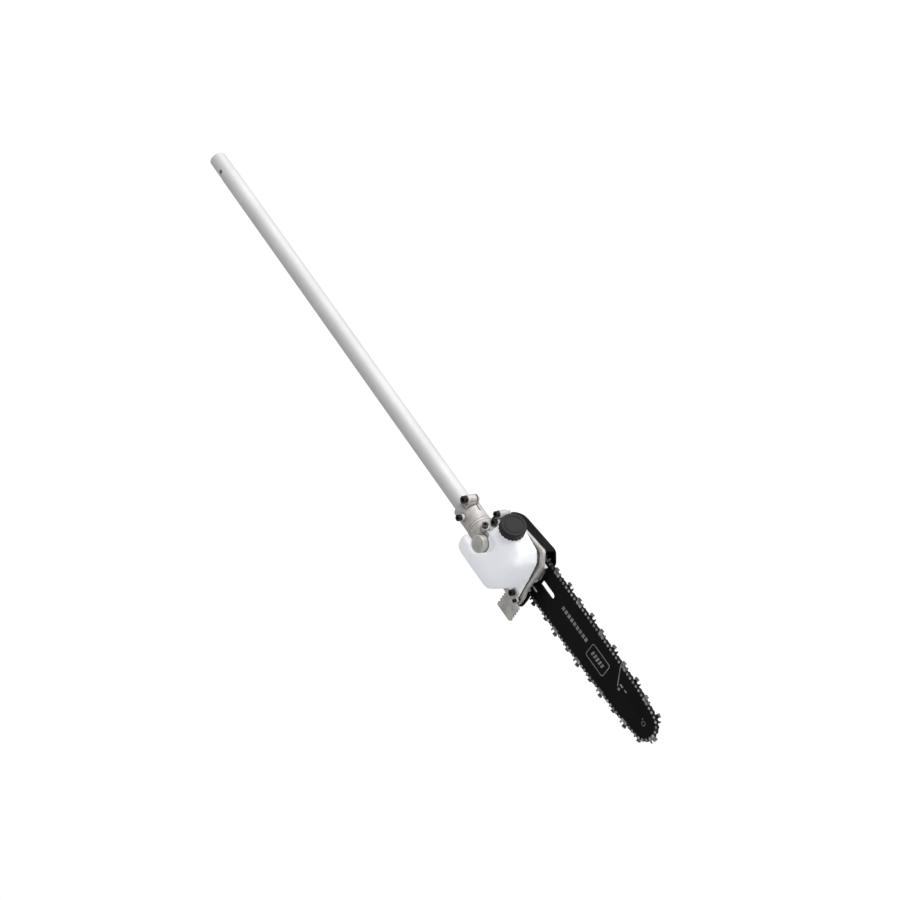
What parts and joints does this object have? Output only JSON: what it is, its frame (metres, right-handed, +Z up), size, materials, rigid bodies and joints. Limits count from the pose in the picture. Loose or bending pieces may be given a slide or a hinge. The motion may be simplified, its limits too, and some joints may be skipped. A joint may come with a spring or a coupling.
{
  "type": "pole saw head",
  "caption": "Chain-saw head on a straight one-inch tube: clamped gear case, oil tank with screw cap, guide bar with chain, cover and toothed bumper.",
  "frame": {"origin": "centre of the tube's free end, which enters the power head's coupler", "axes": "+X along the tube from its free end to the tip of the bar, +Z up with the oil cap on top and the bumper below, +Y towards the sprocket cover, with the oil tank on the -Y side"},
  "size_m": [1.0757, 0.085, 0.1223],
  "materials": {
    "satin_aluminium": "satin drawn tube",
    "cast_aluminium": "as-cast, lightly tumbled",
    "black_bar": "satin black coating",
    "chain_steel": "oiled dark steel",
    "cutter_chrome": "chromed cutting tops",
    "bright_steel": "ground steel",
    "black_screw": "black oxide",
    "zinc_steel": "zinc plated",
    "black_plastic": "fine moulded grain",
    "tank_plastic": "milky translucent",
    "rubber_black": "matt",
    "hose_rubber": "matt",
    "liner_plastic": "natural nylon",
    "felt": "strainer felt"
  },
  "bodies": {
    "head": {"pole_tube": "satin_aluminium", "shaft_bushings": "liner_plastic", "pinion_bearing_outer_rings": "bright_steel", "pinion_bearing_balls": "bright_steel", "rear_bearing_outer_ring": "bright_steel", "rear_bearing_balls": "bright_steel", "front_bearing_outer_ring": "bright_steel", "front_bearing_balls": "bright_steel", "pinion_circlip": "black_screw", "gearcase": "cast_aluminium", "pinch_bolt": "black_screw", "locating_screw": "black_screw", "grease_plug": "black_screw", "housing_screws": "black_screw", "output_seal": "rubber_black", "pump_body": "zinc_steel", "drive_housing": "cast_aluminium", "bar_studs": "zinc_steel", "bar_nuts": "zinc_steel", "guide_plate": "zinc_steel", "oil_tank": "tank_plastic", "tank_gasket": "rubber_black", "oil_pickup_hose": "hose_rubber", "oil_strainer": "felt", "bumper": "cast_aluminium", "bumper_screws": "black_screw", "sprocket_cover": "black_plastic"},
    "drive_line": {"drive_shaft": "bright_steel", "bevel_pinion": "bright_steel", "pinion_bearing_inner_rings": "bright_steel"},
    "output": {"output_shaft": "bright_steel", "bevel_gear": "bright_steel", "rear_bearing_inner_ring": "bright_steel", "front_bearing_inner_ring": "bright_steel", "pump_worm": "bright_steel", "drive_sprocket": "bright_steel", "sprocket_washer": "bright_steel", "sprocket_clip": "black_screw"},
    "plunger": {"pump_plunger": "bright_steel"},
    "bar": {"guide_bar_cover_side_plate": "black_bar", "guide_bar_core": "black_bar", "guide_bar_tank_side_plate": "black_bar", "nose_rivets": "bright_steel", "tension_pin": "zinc_steel", "chain_drive_links": "chain_steel", "chain_tie_straps": "chain_steel", "chain_cutters_tank_side": "cutter_chrome", "chain_cutters_cover_side": "cutter_chrome", "chain_rivets": "bright_steel"},
    "nose_wheel": {"nose_sprocket": "bright_steel"},
    "tensioner": {"tension_screw": "zinc_steel"},
    "cap_lift": {"oil_cap_seal": "rubber_black"},
    "cap": {"oil_cap": "black_plastic"}
  },
  "joints": [
    {"name": "drive_shaft_spin", "type": "hinge", "parent": "head", "child": "drive_line", "pos_m": [0.35, 0, 0], "axis": [1, 0, 0], "continuous": true},
    {"name": "output_spin", "type": "hinge", "parent": "head", "child": "output", "pos_m": [0.745, 0, 0], "axis": [0, 1, 0], "continuous": true},
    {"name": "pump_spin", "type": "hinge", "parent": "head", "child": "plunger", "pos_m": [0.745, 0.0272, -0.00982], "axis": [1, 0, 0], "continuous": true},
    {"name": "chain_tension_slide", "type": "slide", "parent": "head", "child": "bar", "axis": [1, 0, 0], "range_m": [-0.004, 0]},
    {"name": "nose_sprocket_spin", "type": "hinge", "parent": "bar", "child": "nose_wheel", "pos_m": [1.04909, 0.0375, 0], "axis": [0, 1, 0], "continuous": true},
    {"name": "tension_screw_turn", "type": "hinge", "parent": "head", "child": "tensioner", "pos_m": [0.8, 0.029, -0.01], "axis": [1, 0, 0], "range_deg": [-1900, 5]},
    {"name": "cap_rise", "type": "slide", "parent": "head", "child": "cap_lift", "axis": [0.0599, -0.3395, 0.9387], "range_m": [0, 0.0062]},
    {"name": "cap_turn", "type": "hinge", "parent": "cap_lift", "child": "cap", "pos_m": [0.7634, -0.0066, 0.0464], "axis": [0.0599, -0.3395, 0.9387], "range_deg": [0, 720]}
  ],
  "couplings": [
    {"joint": "output_spin", "follows": "drive_shaft_spin", "ratio": 0.75},
    {"joint": "pump_spin", "follows": "drive_shaft_spin", "ratio": 0.09375},
    {"joint": "nose_sprocket_spin", "follows": "drive_shaft_spin", "ratio": 0.75},
    {"joint": "tension_screw_turn", "follows": "chain_tension_slide", "rad_per_m": 7854},
    {"joint": "cap_rise", "follows": "cap_turn", "m_per_rad": 0.00047746}
  ]
}
